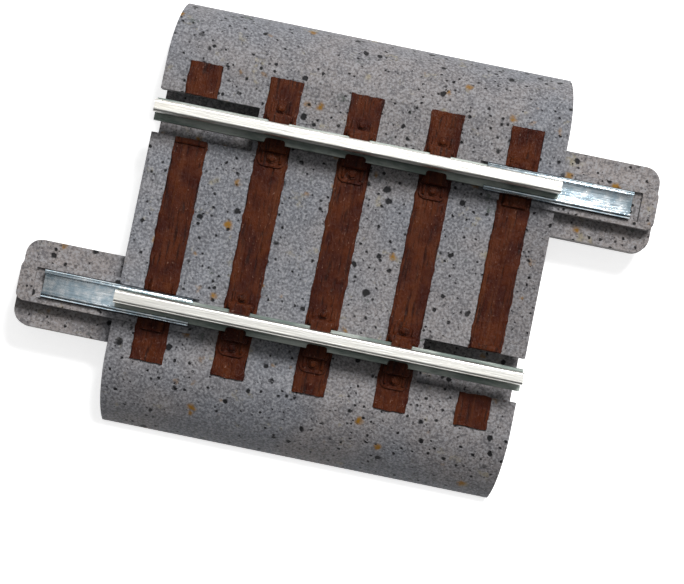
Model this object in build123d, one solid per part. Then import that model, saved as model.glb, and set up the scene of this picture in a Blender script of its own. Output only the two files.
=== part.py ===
"""Short straight section of model railway track on a moulded ballast bed.

Frame: X along the track, Y across it, +Z up, origin at the middle of the base.
Millimetres. The section is unchanged by half a turn about Z: each end has a
tongue with a rail joiner under one rail and a matching pocket under the other.
"""
from build123d import *
import os

os.makedirs("parts", exist_ok=True)

# Track: gauge, sleeper spacing and rail section
gauge = 9.0
sleeper_pitch = 4.1
sleeper_count = 5
head_width = 0.64
head_height = 0.42
web_width = 0.26
foot_width = 1.12
foot_height = 0.32
rail_height = 1.95
head_radius = 0.14

# Ballast bed
bed_height = 3.10
base_width = 21.6
base_rim = 0.35
shoulder_margin = 0.15
flank_bulge = 0.60
end_draft = 0.40
top_wall = 0.60
flank_wall = 1.30
end_wall = 0.90
rib_width = 0.60

# Sleepers: plastic strips let into the top of the bed
sleeper_length = 15.2
sleeper_width = 1.65
sleeper_recess = 0.30
sleeper_rise = 0.12
ridge_width = 0.30
ridge_rise = 0.10

# Chairs that hold the rail foot, moulded with the sleepers
chair_width = 1.35
chair_length = 1.10
chair_lip = 0.23
chair_cover = 0.12
chair_toe = 0.10
bolt_radius = 0.20
bolt_rise = 0.10
bolt_inset = 0.42

# Sheet-metal rail joiners
joiner_sheet = 0.11
joiner_on_rail = 3.75
joiner_free = 3.70
joiner_lip = 0.17
joiner_radius = 0.10

# Tongue under each joiner and the pocket that takes the next section's tongue
tongue_length = 4.95
tongue_width = 4.35
tongue_height = 1.05
tongue_root = 0.60
tongue_corner = 0.80
platform_corner = 0.40
platform_width = 2.05
platform_rise = 0.20
platform_past = 0.30
trough_end_gap = 0.45
pocket_wall = 0.60

# Clearances
rail_clearance = 0.02
joiner_side_clearance = 0.05
tongue_clearance = 0.06
groove_clearance = 0.09

# Heights and places that follow from the sizes above
track_length = sleeper_pitch * sleeper_count
half_length = track_length / 2
rail_y = (gauge + head_width) / 2
sleeper_top = bed_height + sleeper_rise
recess_floor = bed_height - sleeper_recess
foot_top = sleeper_top + foot_height
trough_floor = sleeper_top - joiner_sheet - 2 * rail_clearance
platform_top = bed_height + platform_rise
joiner_inner = foot_width + 2 * rail_clearance
joiner_outer = joiner_inner + 2 * joiner_sheet
trough_width = joiner_outer + 2 * joiner_side_clearance
groove_width = platform_width + 2 * groove_clearance
ceiling = bed_height - top_wall
tongue_top = ceiling - tongue_clearance
tongue_bottom = tongue_top - tongue_height
pocket_floor = tongue_bottom - tongue_clearance
pocket_width = tongue_width + 2 * tongue_clearance
pocket_depth = tongue_length + 2 * tongue_clearance
platform_start = half_length - joiner_on_rail - platform_past
trough_end = half_length + joiner_free + trough_end_gap
half_top = sleeper_length / 2 + shoulder_margin
half_base = base_width / 2
sleeper_x = [(i - (sleeper_count - 1) / 2) * sleeper_pitch for i in range(sleeper_count)]


def block(x, y, z):
    """Box between the low and high values given for each axis."""
    size = [high - low for low, high in (x, y, z)]
    middle = [(low + high) / 2 for low, high in (x, y, z)]
    return Pos(*middle) * Box(*size)


def along_track(outline, start, end):
    """Solid with the YZ outline between two places along the track."""
    face = make_face(Polyline(*outline, close=True))
    return extrude(Plane((start, 0, 0), x_dir=(0, 1, 0), z_dir=(1, 0, 0)) * face, end - start)


def half_turn(shape):
    """The same shape at the other end of the section."""
    return Rot(0, 0, 180) * shape


def flank_half_width(z):
    """Half the bed's width at height z, on the straight flank."""
    share = (z - base_rim) / (bed_height - base_rim)
    return half_base + (half_top - half_base) * max(share, 0)


def flank(side):
    """Bulging outline of one flank, from the rim to the top; side is +1 or -1 across the track."""
    chord = Vector(half_top - half_base, bed_height - base_rim)
    middle = Vector(half_base, base_rim) + chord / 2
    middle += Vector(chord.Y, -chord.X).normalized() * flank_bulge
    return ThreePointArc((side * half_base, base_rim), (side * middle.X, middle.Y), (side * half_top, bed_height))


def bed_shell():
    """Outer form: flat top, bulging flanks, low rim, ends that draw in towards the base."""
    rim = Polyline((-half_base, base_rim), (-half_base, 0), (half_base, 0), (half_base, base_rim))
    top = Line((-half_top, bed_height), (half_top, bed_height))
    face = make_face([rim, flank(1), top, flank(-1)])
    body = extrude(Plane.YZ * face, half_length, both=True)
    foot = half_length - end_draft
    side = [(-foot, 0), (-half_length, bed_height), (half_length, bed_height), (foot, 0)]
    ends = extrude(Plane.XZ * make_face(Polyline(*side, close=True)), half_base, both=True)
    return body & ends


def underside_cavity():
    """Hollow under the top wall, parted by one long rib and a rib between sleepers."""
    low = half_base - flank_wall
    high = flank_half_width(ceiling) - flank_wall
    end = half_length - end_draft - end_wall
    outline = [(-low, -1), (-low, base_rim), (-high, ceiling), (high, ceiling), (low, base_rim), (low, -1)]
    cavity = along_track(outline, -end, end)
    cavity -= block((-end, end), (-rib_width / 2, rib_width / 2), (-1, bed_height))
    for x in sleeper_x[:-1]:
        rib = x + sleeper_pitch / 2
        cavity -= block((rib - rib_width / 2, rib + rib_width / 2), (-half_base, half_base), (-1, bed_height))
    return cavity


def pocket_housing():
    """Walls and floor that close the pocket at the plain rail end, near side of the +X end."""
    start = half_length - pocket_depth - pocket_wall
    side = pocket_width / 2 + pocket_wall
    housing = block((start, half_length), (-rail_y - side, -rail_y + side),
                    (pocket_floor - pocket_wall, ceiling + 0.1))
    return housing & bed_shell()


def pocket_space():
    """Pocket for the next tongue and the open groove above it."""
    start = half_length - pocket_depth
    past = half_length + 1
    side = pocket_width / 2
    groove = groove_width / 2
    space = block((start, past), (-rail_y - side, -rail_y + side), (pocket_floor, ceiling))
    return space + block((start, past), (-rail_y - groove, -rail_y + groove), (ceiling - 0.1, bed_height + 1))


def tongue():
    """Flat tongue with round corners and the raised platform that carries the joiner."""
    root = half_length - end_draft - tongue_root
    flange = block((root, half_length + tongue_length),
                   (rail_y - tongue_width / 2, rail_y + tongue_width / 2), (tongue_bottom, tongue_top))
    tips = flange.edges().filter_by(Axis.Z).group_by(Axis.X)[-1]
    flange = fillet(tips, tongue_corner)
    half = platform_width / 2
    bar = block((platform_start, half_length + tongue_length), (rail_y - half, rail_y + half),
                (tongue_top - tongue_clearance, platform_top))
    uprights = bar.edges().filter_by(Axis.Z).group_by(Axis.X)
    bar = fillet(uprights[0], (platform_width - trough_width) / 2 - 0.01)
    bar = fillet(bar.edges().filter_by(Axis.Z).group_by(Axis.X)[-1], platform_corner)
    return flange + bar


def trough():
    """Channel in the platform that the joiner lies in."""
    half = trough_width / 2
    return block((platform_start, trough_end), (rail_y - half, rail_y + half), (trough_floor, platform_top + 1))


def sleeper_slots():
    """Recesses in the top of the bed, one for each sleeper."""
    slots = [block((x - sleeper_width / 2, x + sleeper_width / 2),
                   (-sleeper_length / 2, sleeper_length / 2), (recess_floor, platform_top + 1))
             for x in sleeper_x]
    return slots


def bed_half():
    """The +X half of the bed, with its pocket, tongue and trough."""
    half = bed_shell() - underside_cavity()
    half = half & block((0, half_length), (-half_base, half_base), (0, bed_height))
    half = half + pocket_housing() + tongue()
    return half - pocket_space() - trough()


def ballast_bed():
    """The whole ballast moulding: two like halves, with a recess for each sleeper."""
    half = bed_half()
    bed = half + half_turn(half)
    for slot in sleeper_slots():
        bed = bed - slot
    return bed


def chair(x, y, outward):
    """Chair at the rail at y; outward is +1 or -1, the side of the rail that it stands on."""
    jaw = foot_width / 2 + rail_clearance
    top = foot_top + rail_clearance + chair_cover
    outline = [(jaw, recess_floor), (jaw, foot_top + rail_clearance),
               (foot_width / 2 - chair_lip, foot_top + rail_clearance),
               (foot_width / 2 - chair_lip, top), (jaw + bolt_inset, top),
               (jaw + chair_length, sleeper_top + chair_toe), (jaw + chair_length, recess_floor)]
    outline = [(y + outward * across, z) for across, z in outline]
    body = along_track(outline, x - chair_width / 2, x + chair_width / 2)
    bolt_y = y + outward * (jaw + bolt_inset - bolt_radius / 2)
    bolt = Pos(x, bolt_y, (recess_floor + top + bolt_rise) / 2)
    return body + bolt * Cylinder(bolt_radius, top + bolt_rise - recess_floor)


def sleeper_blank(x):
    """Plain strip that fills its recess and stands a little proud of the bed."""
    return block((x - sleeper_width / 2, x + sleeper_width / 2),
                 (-sleeper_length / 2, sleeper_length / 2), (recess_floor, sleeper_top))


def middle_sleeper(x):
    """Sleeper with a chair on each side of both rails."""
    sleeper = sleeper_blank(x)
    for y in (-rail_y, rail_y):
        for outward in (-1, 1):
            sleeper = sleeper + chair(x, y, outward)
    return sleeper


def end_sleeper():
    """Last sleeper at the +X end: its long part and the stub outside the groove."""
    x = sleeper_x[-1]
    half = trough_width / 2
    lump = (x - chair_width / 2, x + chair_width / 2)
    groove = groove_width / 2
    long_part = sleeper_blank(x)
    for low, high in ((-half - chair_length / 2, -half), (half, half + chair_length / 2)):
        long_part = long_part + block(lump, (rail_y + low, rail_y + high),
                                      (recess_floor, platform_top + chair_cover))
    long_part = long_part - block((x - sleeper_width, x + sleeper_width), (rail_y - half, rail_y + half),
                                  (trough_floor, platform_top + 1))
    ridge = -rail_y + groove
    long_part = long_part + block((x - sleeper_width / 2, x + sleeper_width / 2), (ridge, ridge + ridge_width),
                                  (recess_floor, sleeper_top + ridge_rise))
    outside = block((x - sleeper_width, x + sleeper_width), (-half_base, -rail_y - groove), (0, bed_height + 2))
    gap = block((x - sleeper_width, x + sleeper_width), (-half_base, ridge), (0, bed_height + 2))
    return long_part - gap, sleeper_blank(x) & outside


def rail(y):
    """Flat-bottomed rail, as long as the bed."""
    foot = Pos(0, foot_height / 2) * Rectangle(foot_width, foot_height)
    web = Pos(0, rail_height / 2) * Rectangle(web_width, rail_height)
    head = Pos(0, rail_height - head_height / 2) * Rectangle(head_width, head_height)
    top = head.vertices().sort_by(Axis.Y)[-2:]
    section = foot + web + fillet(top, head_radius)
    return extrude(Plane((-half_length, y, sleeper_top), x_dir=(0, 1, 0), z_dir=(1, 0, 0)) * section, track_length)


def joiner():
    """Folded channel round the foot of the rail at the far side of the +X end."""
    inner_height = foot_height + 2 * rail_clearance
    height = inner_height + 2 * joiner_sheet
    sheet = Rectangle(joiner_outer, height)
    sheet = fillet(sheet.vertices(), joiner_radius)
    opening = joiner_inner - 2 * joiner_lip
    sheet = sheet - Rectangle(joiner_inner, inner_height)
    sheet = sheet - Pos(0, height / 2) * Rectangle(opening, height)
    middle = sleeper_top + foot_height / 2
    plane = Plane((half_length - joiner_on_rail, rail_y, middle), x_dir=(0, 1, 0), z_dir=(1, 0, 0))
    return extrude(plane * sheet, joiner_on_rail + joiner_free)


def write(name, shape):
    """One STEP file for one piece."""
    export_step(shape, f"parts/{name}.step")


write("ballast_bed", ballast_bed())
for number, place in enumerate(sleeper_x[1:-1], start=2):
    write(f"sleeper_{number}", middle_sleeper(place))
long_sleeper, stub = end_sleeper()
write(f"sleeper_{sleeper_count}", long_sleeper)
write(f"sleeper_{sleeper_count}_stub", stub)
write("sleeper_1", half_turn(long_sleeper))
write("sleeper_1_stub", half_turn(stub))
write("rail_far", rail(rail_y))
write("rail_near", rail(-rail_y))
write("joiner_right", joiner())
write("joiner_left", half_turn(joiner()))
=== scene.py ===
"""Looks of a short straight section of model railway track on a ballast bed."""
import math

import bmesh
import bpy
from mathutils import Matrix, Vector, noise


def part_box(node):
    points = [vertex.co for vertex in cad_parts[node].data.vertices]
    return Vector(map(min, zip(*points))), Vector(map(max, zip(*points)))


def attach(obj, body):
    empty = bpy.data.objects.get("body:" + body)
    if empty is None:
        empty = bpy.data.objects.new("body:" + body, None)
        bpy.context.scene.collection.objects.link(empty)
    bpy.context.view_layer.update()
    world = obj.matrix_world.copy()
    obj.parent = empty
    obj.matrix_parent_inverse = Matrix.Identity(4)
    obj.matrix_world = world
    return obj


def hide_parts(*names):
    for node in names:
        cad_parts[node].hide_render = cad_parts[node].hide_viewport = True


bl_info = {
    "name": "Model Track Section",
    "version": (1, 0, 0),
    "blender": (4, 5, 0),
    "location": "3D Viewport > Sidebar > Track",
    "description": "Builds the ballast bed, sleepers, rails and joiners of a short track section",
    "category": "Object",
}

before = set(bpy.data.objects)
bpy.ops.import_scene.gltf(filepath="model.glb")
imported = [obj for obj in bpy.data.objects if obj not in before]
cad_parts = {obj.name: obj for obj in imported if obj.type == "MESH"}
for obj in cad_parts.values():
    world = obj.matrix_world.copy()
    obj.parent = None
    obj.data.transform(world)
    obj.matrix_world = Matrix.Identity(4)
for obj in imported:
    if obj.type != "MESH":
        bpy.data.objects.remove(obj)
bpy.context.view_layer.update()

MM = 0.001


# Places, from the frame, in millimetres

def box(node):
    """A node's lowest and highest corners."""
    low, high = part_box(node)
    return low / MM, high / MM


class Place:
    """Heights and positions that the pieces share."""
    recess_floor = box("sleeper_5_stub")[0].z
    sleeper_top = box("sleeper_5_stub")[1].z
    lump_top = box("sleeper_5")[1].z
    rail_y = (box("rail_far")[0].y + box("rail_far")[1].y) / 2
    rail_top = box("rail_far")[1].z
    foot_half = (box("rail_far")[1].y - box("rail_far")[0].y) / 2
    joiner_half = (box("joiner_right")[1].y - box("joiner_right")[0].y) / 2
    joiner_bottom = box("joiner_right")[0].z


# Sizes of the pieces, in millimetres

class Rail:
    """The rail's section."""
    foot_height = 0.32
    neck_start = 0.50
    neck_end = 0.36


class Joiner:
    """Folded sheet round the rail foot."""
    sheet = 0.11
    side_clearance = 0.05
    fold = 0.15
    lip_roll = 0.12
    lip_turn = math.radians(115)
    rim = 0.015


class Grain:
    """Moulded wood on top of a sleeper."""
    cuts_across = 21
    row = 0.12
    edge_band = 0.2
    edge_drop = 0.05
    end_band = 0.25
    end_share = 0.8


class Chair:
    """Moulded chair that holds the rail foot; reaches are outwards from the foot's edge."""
    clearance = 0.02
    bedded = 0.10
    plate_half = 0.70
    plate_reach = 1.12
    plate_height = 0.19
    plate_corner = 0.36
    body_half = 0.66
    body_reach = 0.40
    body_edge = 0.12
    body_rise = 0.14
    lip_half = 0.52
    lip_over = 0.25
    lip_back = 0.16
    lip_proud = 0.01
    lip_corner = 0.15
    bolt_reach = 0.68
    bolt_seat = 0.18
    bolt_radius = 0.20
    bolt_rise = 0.24
    rib_apart = 0.46
    rib_half = 0.07
    rib_start = 0.25
    rib_end = 0.92
    rib_top = 0.32
    rib_edge = 0.05


class Lump:
    """Low block beside the joiner, and the ridge at an end sleeper's inner end."""
    half = 0.60
    width = 0.50
    cuts = 7
    below_top = 0.02
    dent = 0.07
    rim = 0.3
    rim_drop = 0.10
    floor_overlap = 0.02
    floor_gap = 0.03
    ridge_width = 0.30
    ridge_rise = 0.10
    ridge_inset = 0.05
    ridge_edge = 0.06


# Sizes and colours that can be changed

class TrackSettings(bpy.types.PropertyGroup):
    """Sizes and colours of the finish."""
    bed_edge: bpy.props.FloatProperty(
        name="Bed edge", description="Radius on the bed's moulded edges",
        default=0.05 * MM, unit="LENGTH", precision=5)
    edge_wander: bpy.props.FloatProperty(
        name="Edge wander", description="How far the sleepers' edges stray from a straight line",
        default=0.07 * MM, unit="LENGTH", precision=5)
    grain_depth: bpy.props.FloatProperty(
        name="Grain depth", description="Depth of the wood grain moulded in the sleepers",
        default=0.035 * MM, unit="LENGTH", precision=5)
    ballast_cool: bpy.props.FloatVectorProperty(
        name="Cool ballast", description="Bluish grey of the ballast", subtype="COLOR",
        default=(0.205, 0.212, 0.235), min=0, max=1)
    ballast_warm: bpy.props.FloatVectorProperty(
        name="Warm ballast", description="Pinkish grey of the ballast", subtype="COLOR",
        default=(0.255, 0.236, 0.236), min=0, max=1)
    ochre: bpy.props.FloatVectorProperty(
        name="Ochre", description="Colour of the yellow-brown stones", subtype="COLOR",
        default=(0.25, 0.12, 0.010), min=0, max=1)
    sleeper_red: bpy.props.FloatVectorProperty(
        name="Sleeper red", description="Darker, redder brown of the sleepers", subtype="COLOR",
        default=(0.044, 0.0066, 0.0022), min=0, max=1)
    sleeper_brown: bpy.props.FloatVectorProperty(
        name="Sleeper brown", description="Lighter brown of the sleepers", subtype="COLOR",
        default=(0.092, 0.0200, 0.0048), min=0, max=1)
    rail_colour: bpy.props.FloatVectorProperty(
        name="Rail", description="Nickel silver of the rails", subtype="COLOR",
        default=(0.80, 0.79, 0.745), min=0, max=1)
    joiner_colour: bpy.props.FloatVectorProperty(
        name="Joiner", description="Bluish plate of the joiners", subtype="COLOR",
        default=(0.42, 0.54, 0.62), min=0, max=1)
    camera_azimuth: bpy.props.FloatProperty(
        name="Camera azimuth", description="Turn of the camera about the upright", subtype="ANGLE",
        default=math.radians(2.8))
    camera_elevation: bpy.props.FloatProperty(
        name="Camera elevation", description="Height of the camera above the level", subtype="ANGLE",
        default=math.radians(86.0))
    camera_roll: bpy.props.FloatProperty(
        name="Camera roll", description="Turn of the camera about its own axis", subtype="ANGLE",
        default=math.radians(8.75))
    camera_distance: bpy.props.FloatProperty(
        name="Camera distance", description="From the camera to the middle of the section",
        default=161.2 * MM, unit="LENGTH")


# Shader maths

class Signal:
    """One value or colour in a material, combined with ordinary operators."""

    def __init__(self, sheet, socket):
        self.sheet = sheet
        self.socket = socket

    def math(self, operation, *values):
        return self.sheet.add("ShaderNodeMath", {"operation": operation}, dict(enumerate(values)))

    def __add__(self, other):
        return self.math("ADD", self, other)

    def __sub__(self, other):
        return self.math("SUBTRACT", self, other)

    def __rsub__(self, other):
        return self.math("SUBTRACT", other, self)

    def __mul__(self, other):
        return self.math("MULTIPLY", self, other)

    __radd__ = __add__
    __rmul__ = __mul__

    def most(self, other):
        return self.math("MAXIMUM", self, other)

    def magnitude(self):
        return self.math("ABSOLUTE", self)

    def ramp(self, start, end):
        """0 below start and 1 above end, smooth between; start may be the larger."""
        values = {"Value": self, "From Min": start, "From Max": end}
        return self.sheet.add("ShaderNodeMapRange", {"interpolation_type": "SMOOTHSTEP"}, values)


class Sheet:
    """A material under construction."""

    def __init__(self, name):
        self.material = bpy.data.materials.new(name)
        self.material.use_nodes = True
        self.tree = self.material.node_tree
        self.shader = self.tree.nodes["Principled BSDF"]
        self.place = self.add("ShaderNodeTexCoord", {}, {}, "Object")

    def put(self, socket, value):
        """Links a signal to the socket, or sets it to a number, vector or colour."""
        if isinstance(value, Signal):
            self.tree.links.new(value.socket, socket)
        elif socket.type == "RGBA":
            socket.default_value = (*value, 1.0)
        else:
            socket.default_value = value

    def add(self, kind, settings, values, output=0):
        """A node of this kind, its settings, and its sockets' values or links."""
        node = self.tree.nodes.new(kind)
        for name, value in settings.items():
            setattr(node, name, value)
        for name, value in values.items():
            self.put(node.inputs[name], value)
        return Signal(self, node.outputs[output])

    def stretched(self, x, y, z):
        """Object coordinates in millimetres, multiplied along each axis."""
        scale = (x / MM, y / MM, z / MM)
        values = {"Vector": self.place, "Scale": scale}
        return self.add("ShaderNodeMapping", {"vector_type": "POINT"}, values)

    def axis(self, name):
        """One object coordinate in millimetres."""
        return self.add("ShaderNodeSeparateXYZ", {}, {"Vector": self.stretched(1, 1, 1)}, name)

    def clouds(self, vector, scale, detail=3.0, rough=0.55, warp=0.0):
        """Soft noise with this many blobs to the millimetre."""
        values = {"Vector": vector, "Scale": scale, "Detail": detail, "Roughness": rough, "Distortion": warp}
        return self.add("ShaderNodeTexNoise", {}, values, "Fac")

    def cells(self, vector, scale, output="Distance"):
        """Scattered cells: the distance to the nearest centre, or that cell's own colour."""
        values = {"Vector": vector, "Scale": scale}
        return self.add("ShaderNodeTexVoronoi", {"feature": "F1"}, values, output)

    def channel(self, colour, index):
        return self.add("ShaderNodeSeparateColor", {}, {"Color": colour}, index)

    def blend(self, factor, low, high):
        """Colour mix: low where factor is 0, high where it is 1."""
        factor_input, low_input, high_input, colour_output = 0, 6, 7, 2
        values = {factor_input: factor, low_input: low, high_input: high}
        return self.add("ShaderNodeMix", {"data_type": "RGBA"}, values, colour_output)

    def wander(self, vector, scale, amount):
        """vector moved a little by noise, for edges that stray."""
        values = {"Vector": vector, "Scale": scale, "Detail": 2.0}
        colour = self.add("ShaderNodeTexNoise", {}, values, "Color")
        centred = self.add("ShaderNodeVectorMath", {"operation": "SUBTRACT"}, {0: colour, 1: (0.5, 0.5, 0.5)})
        scaled = self.add("ShaderNodeVectorMath", {"operation": "SCALE"}, {0: centred, "Scale": amount})
        return self.add("ShaderNodeVectorMath", {"operation": "ADD"}, {0: vector, 1: scaled})

    def finish(self, colour, rough, relief, depth, **fixed):
        """Fills the shader; relief is bumped by depth in millimetres, fixed values stay constant."""
        self.put(self.shader.inputs["Base Color"], colour)
        self.put(self.shader.inputs["Roughness"], rough)
        for name, value in fixed.items():
            self.shader.inputs[name.replace("_", " ")].default_value = value
        values = {"Height": relief, "Distance": depth * MM, "Strength": 1.0}
        self.put(self.shader.inputs["Normal"], self.add("ShaderNodeBump", {}, values, "Normal"))
        return self.material


def pits(sheet, vector, spacing, radius, share, softness=0.35):
    """Round specks: this share of the cells holds one, each of its own size."""
    distance = sheet.cells(vector, 1 / spacing)
    identity = sheet.cells(vector, 1 / spacing, "Color")
    chosen = sheet.channel(identity, 0).ramp(share + 0.02, share - 0.02)
    size = (sheet.channel(identity, 1) * 0.7 + 0.3) * (radius / spacing)
    inside = (size - distance) * (spacing / (radius * softness))
    return chosen * inside.ramp(0, 1)


def ballast_material(settings):
    """Grey moulding with dark pits, ochre stones and a few green and red specks."""
    tongue_tint = (0.32, 0.28, 0.26)
    slate = (0.145, 0.145, 0.16)
    pale_sand = (0.38, 0.38, 0.395)
    dark_sand = (0.085, 0.085, 0.092)
    straw_yellow = (0.34, 0.29, 0.16)
    moss_green = (0.055, 0.075, 0.055)
    brick_red = (0.17, 0.035, 0.03)
    black = (0.003, 0.003, 0.004)
    tongue_start, tongue_full = 10.0, 11.4

    sheet = Sheet("ballast_moulding")
    flat = sheet.stretched(1, 1, 1)
    tongue = sheet.axis("X").magnitude().ramp(tongue_start, tongue_full)
    tone = sheet.clouds(flat, 0.16, 2.0).ramp(0.40, 0.60).most(tongue)
    colour = sheet.blend(tone, settings.ballast_cool, settings.ballast_warm)
    colour = sheet.blend(tongue * 0.5, colour, tongue_tint)
    mottle = sheet.clouds(flat, 1.5, 5.0, 0.65)
    colour = sheet.blend(mottle.ramp(0.42, 0.62) * 0.45, colour, slate)
    sand = sheet.clouds(flat, 8.0, 2.0, 0.6)
    colour = sheet.blend(sand.ramp(0.52, 0.62) * 0.60, colour, pale_sand)
    colour = sheet.blend(sand.ramp(0.48, 0.38) * 0.65, colour, dark_sand)

    ochre = pits(sheet, sheet.wander(flat, 3.2, 0.35), 1.15, 0.34, 0.50, 0.6)
    colour = sheet.blend(ochre * sand.ramp(0.30, 0.42), colour, settings.ochre)
    straw = sheet.clouds(flat, 0.9, 4.0, 0.7).ramp(0.60, 0.72)
    colour = sheet.blend(straw * 0.45, colour, straw_yellow)
    moss = sheet.clouds(sheet.wander(flat, 2.0, 0.8), 0.75, 5.0, 0.75).ramp(0.62, 0.70)
    colour = sheet.blend(moss * sheet.clouds(flat, 6.0, 3.0).ramp(0.35, 0.6) * 0.8, colour, moss_green)
    red = pits(sheet, sheet.wander(flat, 5.0, 0.3), 1.9, 0.16, 0.25, 0.6)
    colour = sheet.blend(red * 0.7, colour, brick_red)

    grit = pits(sheet, sheet.wander(flat, 9.0, 0.06), 0.17, 0.062, 0.55, 0.7)
    fine = pits(sheet, sheet.wander(flat, 6.0, 0.12), 0.33, 0.115, 0.75, 0.5)
    middle = pits(sheet, sheet.wander(flat, 4.0, 0.20), 0.66, 0.19, 0.60)
    large = pits(sheet, sheet.wander(flat, 2.5, 0.30), 1.7, 0.28, 0.50)
    dark = (grit * 0.6).most(fine).most(middle).most(large)
    colour = sheet.blend(dark * 0.97, colour, black)
    relief = sand * 0.35 + mottle * 0.5 - dark * 1.2
    rough = sand * 0.25 + 0.52
    return sheet.finish(colour, rough, relief, 0.05, Specular_IOR_Level=0.25)


def sleeper_material(settings):
    """Reddish-brown semi-gloss plastic with wood grain along the strip, and pale flecks that are painted
    highlights (glints put into the base colour).
    """
    worn_brown = (0.120, 0.033, 0.009)
    groove_brown = (0.012, 0.003, 0.002)
    # Pale pink of the painted highlights: glints put into the base colour.
    glint_pink_painted = (0.42, 0.24, 0.18)

    sheet = Sheet("sleeper_brown")
    grain = sheet.clouds(sheet.stretched(1, 0.10, 1), 7.0, 5.0, 0.65, 0.3)
    streak = sheet.clouds(sheet.stretched(1, 0.05, 1), 3.0, 3.0, 0.6)
    blotch = sheet.clouds(sheet.stretched(1, 1, 1), 0.9, 4.0, 0.6)
    fleck = sheet.clouds(sheet.stretched(1, 0.5, 1), 8.0, 3.0, 0.7)
    colour = sheet.blend(blotch.ramp(0.35, 0.66), settings.sleeper_red, settings.sleeper_brown)
    colour = sheet.blend(streak.ramp(0.50, 0.72) * 0.5, colour, worn_brown)
    colour = sheet.blend(grain.ramp(0.47, 0.36) * 0.75, colour, groove_brown)
    # Painted highlight: pale pink flecks in the base colour stand in for glints.
    colour = sheet.blend(fleck.ramp(0.64, 0.72) * 0.45, colour, glint_pink_painted)
    relief = grain * 0.9 + fleck * 0.7 + blotch * 0.4
    rough = fleck * 0.40 + 0.16
    return sheet.finish(colour, rough, relief, 0.10, Specular_IOR_Level=0.15)


def rail_material(settings):
    """Drawn nickel silver: bright head with fine lines along it, web and foot darker, partly as tarnish and
    partly as painted shade.
    """
    line_grey = (0.60, 0.63, 0.62)
    warm_spot = (0.90, 0.84, 0.72)
    # Darker colours for the web and foot: partly tarnish, partly painted shade.
    tarnish_shade_dark = (0.15, 0.185, 0.168)
    tarnish_shade_pale = (0.38, 0.41, 0.38)

    sheet = Sheet("rail_nickel_silver")
    lines = sheet.clouds(sheet.stretched(0.05, 1, 1), 14.0, 4.0, 0.6)
    cloud = sheet.clouds(sheet.stretched(0.3, 1, 1), 1.2, 4.0, 0.6)
    head = sheet.axis("Z").ramp(Place.rail_top - Rail.neck_start, Place.rail_top - Rail.neck_end)
    colour = sheet.blend(lines.ramp(0.45, 0.75) * 0.35, settings.rail_colour, line_grey)
    colour = sheet.blend(cloud.ramp(0.50, 0.70) * 0.30, colour, warm_spot)
    # Web and foot colour: partly tarnish, partly painted shade for the shadow below the head.
    tarnish_and_shade = sheet.blend(cloud.ramp(0.35, 0.65), tarnish_shade_dark, tarnish_shade_pale)
    colour = sheet.blend(head, tarnish_and_shade, colour)
    rough = lines * 0.20 + 0.22 + (1 - head) * 0.12
    return sheet.finish(colour, rough, lines + cloud * 0.3, 0.008, Metallic=1.0)


def joiner_material(settings):
    """Bright bluish plate on folded sheet, with faint rolling lines and rubbed spots."""
    rubbed_plate = (0.80, 0.85, 0.88)
    line_blue = (0.26, 0.34, 0.38)

    sheet = Sheet("joiner_plate")
    lines = sheet.clouds(sheet.stretched(0.08, 1, 1), 12.0, 4.0, 0.6)
    cloud = sheet.clouds(sheet.stretched(1, 1, 1), 2.2, 4.0, 0.6)
    colour = sheet.blend(cloud.ramp(0.35, 0.68), settings.joiner_colour, rubbed_plate)
    colour = sheet.blend(lines.ramp(0.52, 0.34) * 0.55, colour, line_blue)
    rough = cloud * 0.22 + 0.13
    return sheet.finish(colour, rough, lines + cloud * 0.15, 0.010, Metallic=1.0)


# Mesh helpers. Shapes are made in millimetres and written in metres.

def brick(mesh, low, high):
    """Box between two corners; returns its vertices."""
    made = bmesh.ops.create_cube(mesh, size=1.0)["verts"]
    size = Vector(high) - Vector(low)
    middle = (Vector(high) + Vector(low)) / 2
    bmesh.ops.scale(mesh, vec=size, verts=made)
    bmesh.ops.translate(mesh, vec=middle, verts=made)
    return made


def edges_of(mesh, verts):
    """The edges that join these vertices."""
    chosen = set(verts)
    return [edge for edge in mesh.edges if edge.verts[0] in chosen and edge.verts[1] in chosen]


def upright(edges):
    """Those of the edges that stand up."""
    return [edge for edge in edges if abs(edge.verts[0].co.z - edge.verts[1].co.z) > 0.05]


def soften(mesh, edges, radius, steps=2):
    return bmesh.ops.bevel(mesh, geom=edges, offset=radius, offset_type="OFFSET", affect="EDGES",
                           segments=steps, profile=0.5, material=-1, clamp_overlap=True)


def ragged(x, y, z=0):
    """Uneven noise for broken edges, about zero."""
    return noise.fractal(Vector((x, y, z)), 0.6, 2.2, 3)


def join(mesh, part):
    """Adds a finished part to the mesh it belongs to."""
    data = bpy.data.meshes.new("part")
    part.to_mesh(data)
    part.free()
    mesh.from_mesh(data)
    bpy.data.meshes.remove(data)


def to_object(mesh, name, material):
    """Writes the bmesh to an object in metres, with smooth shading by angle."""
    bmesh.ops.scale(mesh, vec=(MM, MM, MM), verts=mesh.verts)
    bmesh.ops.recalc_face_normals(mesh, faces=mesh.faces)
    data = bpy.data.meshes.new(name)
    mesh.to_mesh(data)
    mesh.free()
    data.materials.append(material)
    data.shade_smooth()
    data.set_sharp_from_angle(angle=math.radians(40))
    piece = bpy.data.objects.new(name, data)
    bpy.context.scene.collection.objects.link(piece)
    return piece


def round_edges(piece, radius, angle):
    """Live bevel on the edges that are sharper than this angle."""
    edge = piece.modifiers.new("round_edges", "BEVEL")
    edge.width = radius
    edge.segments = 2
    edge.limit_method = "ANGLE"
    edge.angle_limit = angle


def cad_copy(node):
    """A merged copy of a CAD node, for a finer version of the same shape."""
    mesh = bmesh.new()
    mesh.from_mesh(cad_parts[node].data)
    bmesh.ops.remove_doubles(mesh, verts=mesh.verts, dist=1e-7)
    bmesh.ops.scale(mesh, vec=(1 / MM,) * 3, verts=mesh.verts)
    return mesh


def stand_in(piece, body, node):
    """Makes the piece ride on its body in place of a CAD node."""
    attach(piece, body)
    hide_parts(node)


# Ballast bed

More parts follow.
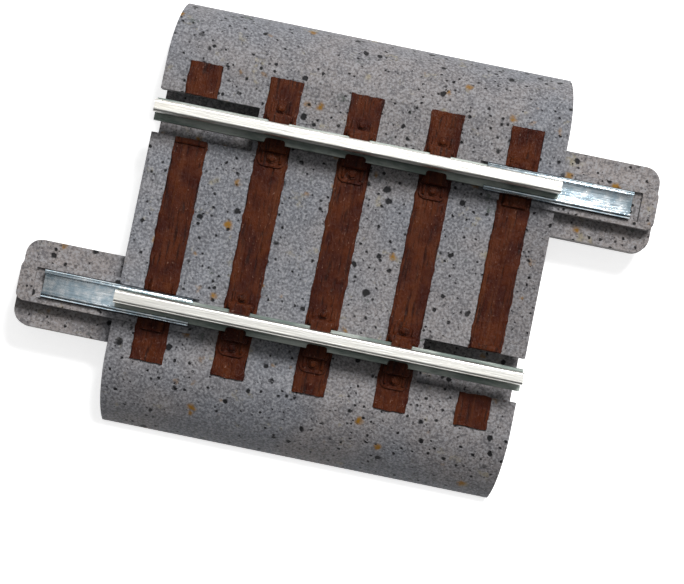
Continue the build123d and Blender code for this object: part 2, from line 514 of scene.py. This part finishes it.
def build_bed(settings):
    """The bed with its edges rounded as a moulding's are."""
    mesh = cad_copy("ballast_bed")
    bmesh.ops.dissolve_limit(mesh, angle_limit=math.radians(2), verts=mesh.verts, edges=mesh.edges)
    bed = to_object(mesh, "bed_moulding", ballast_material(settings))
    round_edges(bed, settings.bed_edge, math.radians(35))
    stand_in(bed, "bed", "ballast_bed")


# Sleepers

def strip(mesh, x, width, y_low, y_high, z_low, z_high, seed, settings):
    """Length of sleeper with grain along it and edges that wander a little."""
    part = bmesh.new()
    brick(part, (x - width / 2, y_low, z_low), (x + width / 2, y_high, z_high))
    length = y_high - y_low
    across = [edge for edge in part.edges if abs(edge.verts[0].co.x - edge.verts[1].co.x) > width / 2]
    bmesh.ops.subdivide_edges(part, edges=across, cuts=Grain.cuts_across, use_grid_fill=True)
    along = [edge for edge in part.edges if abs(edge.verts[0].co.y - edge.verts[1].co.y) > length / 2]
    bmesh.ops.subdivide_edges(part, edges=along, cuts=max(int(length / Grain.row), 3), use_grid_fill=True)
    wander = settings.edge_wander / MM
    depth = settings.grain_depth / MM
    for vert in part.verts:
        point = vert.co.copy()
        if point.z < z_high - 1e-4:
            continue
        side = (point.x - x) / (width / 2)
        end = 1 if point.y > (y_high + y_low) / 2 else -1
        edge = max(abs(side) - (1 - Grain.edge_band), 0) / Grain.edge_band
        stray = wander * ragged(seed + math.copysign(3, side), point.y * 1.4)
        vert.co.x += math.copysign(edge, side) * stray
        tip = max(Grain.end_band - min(point.y - y_low, y_high - point.y), 0) / Grain.end_band
        vert.co.y += end * tip * wander * Grain.end_share * ragged(point.x * 1.6, seed + 9 * end)
        grain = noise.fractal(Vector((point.x * 5.5, point.y * 0.35, seed * 1.7)), 0.7, 2.1, 4)
        vert.co.z -= depth * min(max(0.5 - grain, 0), 1.4)
        vert.co.z -= Grain.edge_drop * edge ** 2
    join(mesh, part)


def bolt(mesh, x, y, z, radius, rise, turn):
    """Six-sided bolt head with a domed top on a round washer."""
    washer_height = rise * 0.4
    head_height = rise * 0.6
    washer = bmesh.ops.create_cone(mesh, cap_ends=True, segments=20, radius1=radius * 1.35,
                                   radius2=radius * 1.2, depth=washer_height)["verts"]
    bmesh.ops.translate(mesh, vec=(x, y, z + washer_height / 2), verts=washer)
    head = bmesh.ops.create_cone(mesh, cap_ends=True, segments=6, radius1=radius,
                                 radius2=radius * 0.9, depth=head_height)["verts"]
    bmesh.ops.rotate(mesh, matrix=Matrix.Rotation(turn, 3, "Z"), verts=head)
    bmesh.ops.translate(mesh, vec=(x, y, z + washer_height + head_height / 2), verts=head)
    soften(mesh, edges_of(mesh, head), radius * 0.16)


def chair(mesh, x, rail, outward, turn):
    """Rounded chair with its jaw over the rail foot, a rib each side and a bolt."""
    jaw = Place.foot_half + Chair.clearance
    foot_top = Place.sleeper_top + Rail.foot_height
    base = Place.sleeper_top - Chair.bedded
    top = foot_top + Chair.body_rise

    def block(middle, half, near, far, low, high):
        """Box from near to far out from the rail, reaching half to each side of middle."""
        sides = sorted((rail + outward * near, rail + outward * far))
        return brick(mesh, (middle - half, sides[0], low), (middle + half, sides[1], high))

    plate_end = jaw + Chair.plate_reach
    plate = block(x, Chair.plate_half, jaw, plate_end, base, base + Chair.plate_height)
    corners = [edge for edge in upright(edges_of(mesh, plate))
               if abs(edge.verts[0].co.y - rail - outward * plate_end) < 1e-4]
    soften(mesh, corners, Chair.plate_corner, 6)
    body = block(x, Chair.body_half, jaw, jaw + Chair.body_reach, base, top)
    soften(mesh, edges_of(mesh, body), Chair.body_edge, 4)
    lip = block(x, Chair.lip_half, jaw - Chair.lip_over, jaw + Chair.lip_back,
                foot_top + Chair.clearance, top + Chair.lip_proud)
    soften(mesh, upright(edges_of(mesh, lip)), Chair.lip_corner, 4)
    bolt_y = rail + outward * (jaw + Chair.bolt_reach)
    bolt(mesh, x, bolt_y, base + Chair.bolt_seat, Chair.bolt_radius, Chair.bolt_rise, turn)
    for shift in (-Chair.rib_apart, Chair.rib_apart):
        rib = block(x + shift, Chair.rib_half, jaw + Chair.rib_start, jaw + Chair.rib_end,
                    Place.sleeper_top, base + Chair.rib_top)
        soften(mesh, edges_of(mesh, rib), Chair.rib_edge)


def lump(mesh, x, y_low, y_high, seed):
    """Irregular low block beside the joiner."""
    high = Place.lump_top - Lump.below_top
    part = bmesh.new()
    brick(part, (x - Lump.half, y_low, Place.recess_floor), (x + Lump.half, y_high, high))
    bmesh.ops.subdivide_edges(part, edges=part.edges, cuts=Lump.cuts, use_grid_fill=True)
    for vert in part.verts:
        if vert.co.z > high - 1e-4:
            shade = ragged(vert.co.x * 4, vert.co.y * 4, seed)
            vert.co.z -= Lump.dent * max(0.4 - shade, 0)
            rim = max(abs(vert.co.x - x) / Lump.half - (1 - Lump.rim), 0) / Lump.rim
            vert.co.z -= Lump.rim_drop * rim ** 2
    join(mesh, part)


def middle_sleeper(name, settings, material):
    """Sleeper with chairs on both sides of both rails."""
    low, high = box(name)
    x = (low.x + high.x) / 2
    mesh = bmesh.new()
    strip(mesh, x, high.x - low.x, low.y, high.y, low.z, Place.sleeper_top, x + 20, settings)
    for number, (side, outward) in enumerate(((-1, -1), (-1, 1), (1, -1), (1, 1))):
        chair(mesh, x, side * Place.rail_y, outward, 0.4 + number * 1.3 + x)
    return to_object(mesh, name + "_brown", material)


def end_sleeper(name, settings, material):
    """End sleeper: strips each side of the joiner, a thin floor under it, lumps and a ridge."""
    low, high = box(name)
    x = (low.x + high.x) / 2
    end = 1 if x > 0 else -1
    rail = end * Place.rail_y
    trough = Place.joiner_half + Joiner.side_clearance
    near, far = rail - trough, rail + trough
    top = Place.sleeper_top
    width = high.x - low.x
    mesh = bmesh.new()
    strip(mesh, x, width, low.y, near, low.z, top, x + 31, settings)
    strip(mesh, x, width, far, high.y, low.z, top, x + 47, settings)
    brick(mesh, (low.x, near - Lump.floor_overlap, low.z),
          (high.x, far + Lump.floor_overlap, Place.joiner_bottom - Lump.floor_gap))
    lump(mesh, x, near - Lump.width, near, x)
    lump(mesh, x, far, far + Lump.width, x + 5)
    inner = low.y if end > 0 else high.y
    ridge_low, ridge_high = sorted((inner, inner + end * Lump.ridge_width))
    ridge = brick(mesh, (low.x + Lump.ridge_inset, ridge_low, low.z),
                  (high.x - Lump.ridge_inset, ridge_high, top + Lump.ridge_rise))
    soften(mesh, edges_of(mesh, ridge), Lump.ridge_edge, 3)
    return to_object(mesh, name + "_brown", material)


def stub(name, settings, material):
    """Short outer piece of an end sleeper."""
    low, high = box(name)
    mesh = bmesh.new()
    strip(mesh, (low.x + high.x) / 2, high.x - low.x, low.y, high.y, low.z, high.z, low.x + 63, settings)
    return to_object(mesh, name + "_brown", material)


def build_sleepers(settings):
    """All five sleepers and the two stubs, in one brown plastic."""
    material = sleeper_material(settings)
    makers = {name: middle_sleeper for name in ("sleeper_2", "sleeper_3", "sleeper_4")}
    makers.update({name: end_sleeper for name in ("sleeper_1", "sleeper_5")})
    makers.update({name: stub for name in ("sleeper_1_stub", "sleeper_5_stub")})
    for name, maker in makers.items():
        stand_in(maker(name, settings, material), "bed", name)


# Rails and joiners

def build_rails(settings):
    """Gives the rails their metal."""
    material = rail_material(settings)
    for node in ("rail_far", "rail_near"):
        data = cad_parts[node].data
        data.materials.clear()
        data.materials.append(material)


def arc(mesh, vert, centre, angle, steps):
    """Carries a profile on from this vertex round a centre in the YZ plane; returns its new end."""
    made = bmesh.ops.spin(mesh, geom=[vert], cent=centre, axis=(1, 0, 0), angle=angle, steps=steps)
    return [item for item in made["geom_last"] if isinstance(item, bmesh.types.BMVert)][0]


def joiner_shell(name, material):
    """Folded channel: flat floor, rounded walls and lips rolled in over the rail foot."""
    low, high = box(name)
    y = (low.y + high.y) / 2
    floor = low.z + Joiner.sheet / 2
    top = high.z - Joiner.sheet / 2
    half = (high.y - low.y - Joiner.sheet) / 2
    mesh = bmesh.new()
    middle = mesh.verts.new((low.x, y, floor))
    for side in (1, -1):
        bend_y = y + side * (half - Joiner.fold)
        bend = mesh.verts.new((low.x, bend_y, floor))
        mesh.edges.new((middle, bend))
        wall = arc(mesh, bend, (low.x, bend_y, floor + Joiner.fold), side * math.radians(90), 6)
        rise = bmesh.ops.extrude_vert_indiv(mesh, verts=[wall])["verts"]
        roll_z = top - Joiner.lip_roll
        bmesh.ops.translate(mesh, vec=(0, 0, roll_z - wall.co.z), verts=rise)
        roll_centre = (low.x, y + side * (half - Joiner.lip_roll), roll_z)
        arc(mesh, rise[0], roll_centre, side * Joiner.lip_turn, 7)
    bmesh.ops.remove_doubles(mesh, verts=mesh.verts, dist=1e-4)
    rows = bmesh.ops.extrude_edge_only(mesh, edges=mesh.edges)["geom"]
    far_end = [item for item in rows if isinstance(item, bmesh.types.BMVert)]
    bmesh.ops.translate(mesh, vec=(high.x - low.x, 0, 0), verts=far_end)
    shell = to_object(mesh, name + "_sheet", material)
    thick = shell.modifiers.new("thickness", "SOLIDIFY")
    thick.thickness = Joiner.sheet * MM
    thick.offset = 0
    round_edges(shell, Joiner.rim * MM, math.radians(50))
    return shell


def build_joiners(settings):
    """Both joiners, each riding on its own body."""
    material = joiner_material(settings)
    for node in ("joiner_right", "joiner_left"):
        stand_in(joiner_shell(node, material), node, node)


# Stage

def floor_material():
    """White floor that reads as white to the camera and keeps the section's shadow."""
    sheet = Sheet("floor_white")
    ray = sheet.tree.nodes.new("ShaderNodeLightPath")
    camera = Signal(sheet, ray.outputs["Is Camera Ray"])
    glossy = Signal(sheet, ray.outputs["Is Glossy Ray"])
    values = {"Color": (1, 1, 1), "Strength": camera.most(glossy) * 0.72}
    glow = sheet.add("ShaderNodeEmission", {}, values)
    white = sheet.add("ShaderNodeBsdfDiffuse", {}, {"Color": (0.88, 0.88, 0.88)})
    both = sheet.add("ShaderNodeAddShader", {}, {0: white, 1: glow})
    sheet.put(sheet.tree.nodes["Material Output"].inputs["Surface"], both)
    return sheet.material


def add_lamp(name, power, size, place):
    """Square soft lamp that points at the middle of the base."""
    data = bpy.data.lights.new(name, "AREA")
    data.energy = power
    data.size = size
    light = bpy.data.objects.new(name, data)
    light.location = place
    light.rotation_euler = (-Vector(place)).to_track_quat("-Z", "Y").to_euler()
    bpy.context.scene.collection.objects.link(light)


def shade_world(world):
    """Studio surround: a bright panel overhead, a paler far right side and a dark near side."""
    tree = world.node_tree
    place = tree.nodes.new("ShaderNodeTexCoord")
    glow = tree.nodes.new("ShaderNodeMath")
    glow.operation = "ADD"
    overhead = ((0.0, 0.10, 0.99), {"From Min": 0.84, "From Max": 0.97, "To Min": 0.01, "To Max": 0.46})
    far_side = ((0.30, 0.80, 0.52), {"From Min": -0.10, "From Max": 0.80, "To Min": 0.05, "To Max": 0.24})
    for number, (toward, levels) in enumerate((overhead, far_side)):
        facing = tree.nodes.new("ShaderNodeVectorMath")
        facing.operation = "DOT_PRODUCT"
        facing.inputs[1].default_value = toward
        level = tree.nodes.new("ShaderNodeMapRange")
        level.interpolation_type = "SMOOTHSTEP"
        for name, value in levels.items():
            level.inputs[name].default_value = value
        tree.links.new(place.outputs["Generated"], facing.inputs[0])
        tree.links.new(facing.outputs["Value"], level.inputs["Value"])
        tree.links.new(level.outputs["Result"], glow.inputs[number])
    tree.links.new(glow.outputs["Value"], tree.nodes["Background"].inputs["Strength"])
    tree.nodes["Background"].inputs["Color"].default_value = (1, 1, 1, 1)


def add_floor(half_side):
    """Square floor at the height that the bed stands on."""
    mesh = bmesh.new()
    bmesh.ops.create_grid(mesh, x_segments=1, y_segments=1, size=half_side)
    data = bpy.data.meshes.new("floor")
    mesh.to_mesh(data)
    mesh.free()
    data.materials.append(floor_material())
    floor = bpy.data.objects.new("floor", data)
    bpy.context.scene.collection.objects.link(floor)


def add_camera(settings, target, lens):
    """Camera above the section, turned a little about its own axis."""
    azimuth, elevation, roll = settings.camera_azimuth, settings.camera_elevation, settings.camera_roll
    outward = Vector((math.sin(azimuth) * math.cos(elevation),
                      -math.cos(azimuth) * math.cos(elevation), math.sin(elevation)))
    right = (-outward).cross(Vector((0, 0, 1))).normalized()
    up = right.cross(-outward)
    across = math.cos(roll) * right + math.sin(roll) * up
    upward = math.cos(roll) * up - math.sin(roll) * right
    data = bpy.data.cameras.new("camera")
    data.lens = lens
    data.sensor_width = 36
    data.clip_start = 0.005
    data.clip_end = 10
    camera = bpy.data.objects.new("camera", data)
    axes = Matrix((across, upward, outward)).transposed()
    camera.matrix_world = Matrix.Translation(target + outward * settings.camera_distance) @ axes.to_4x4()
    bpy.context.scene.collection.objects.link(camera)
    bpy.context.scene.camera = camera


def build_stage(settings):
    """Floor, soft light from the far right, and the camera."""
    add_floor(0.6)
    world = bpy.data.worlds.new("studio")
    world.use_nodes = True
    shade_world(world)
    bpy.context.scene.world = world
    add_lamp("key", 0.80, 0.08, (0.06, 0.15, 0.26))
    bpy.context.scene.view_settings.view_transform = "Standard"
    add_camera(settings, Vector((0.665, -2.23, 2.5)) * MM, 169.9)


# Operators

class TRACK_OT_bed(bpy.types.Operator):
    """Build the ballast bed's visible moulding"""
    bl_idname = "track.bed"
    bl_label = "Ballast bed"

    def execute(self, context):
        build_bed(context.scene.track_section)
        return {"FINISHED"}


class TRACK_OT_sleepers(bpy.types.Operator):
    """Build the sleepers with their chairs"""
    bl_idname = "track.sleepers"
    bl_label = "Sleepers"

    def execute(self, context):
        build_sleepers(context.scene.track_section)
        return {"FINISHED"}


class TRACK_OT_rails(bpy.types.Operator):
    """Finish the rails"""
    bl_idname = "track.rails"
    bl_label = "Rails"

    def execute(self, context):
        build_rails(context.scene.track_section)
        return {"FINISHED"}


class TRACK_OT_joiners(bpy.types.Operator):
    """Build the rail joiners"""
    bl_idname = "track.joiners"
    bl_label = "Rail joiners"

    def execute(self, context):
        build_joiners(context.scene.track_section)
        return {"FINISHED"}


class TRACK_OT_stage(bpy.types.Operator):
    """Set up the floor, lights and camera"""
    bl_idname = "track.stage"
    bl_label = "Stage"

    def execute(self, context):
        build_stage(context.scene.track_section)
        return {"FINISHED"}


OPERATORS = (TRACK_OT_bed, TRACK_OT_sleepers, TRACK_OT_rails, TRACK_OT_joiners, TRACK_OT_stage)


class TRACK_PT_section(bpy.types.Panel):
    """Sizes, colours and pieces of the track section"""
    bl_idname = "TRACK_PT_section"
    bl_label = "Track Section"
    bl_space_type = "VIEW_3D"
    bl_region_type = "UI"
    bl_category = "Track"

    def draw(self, context):
        settings = context.scene.track_section
        for name in TrackSettings.__annotations__:
            self.layout.prop(settings, name)
        for operator in OPERATORS:
            self.layout.operator(operator.bl_idname)


CLASSES = (TrackSettings, *OPERATORS, TRACK_PT_section)


def register():
    for cls in CLASSES:
        bpy.utils.register_class(cls)
    bpy.types.Scene.track_section = bpy.props.PointerProperty(type=TrackSettings)


def unregister():
    del bpy.types.Scene.track_section
    for cls in reversed(CLASSES):
        bpy.utils.unregister_class(cls)


def main():
    register()
    bpy.ops.track.stage()
    bpy.ops.track.bed()
    bpy.ops.track.sleepers()
    bpy.ops.track.rails()
    bpy.ops.track.joiners()


if __name__ == "__main__":
    main()
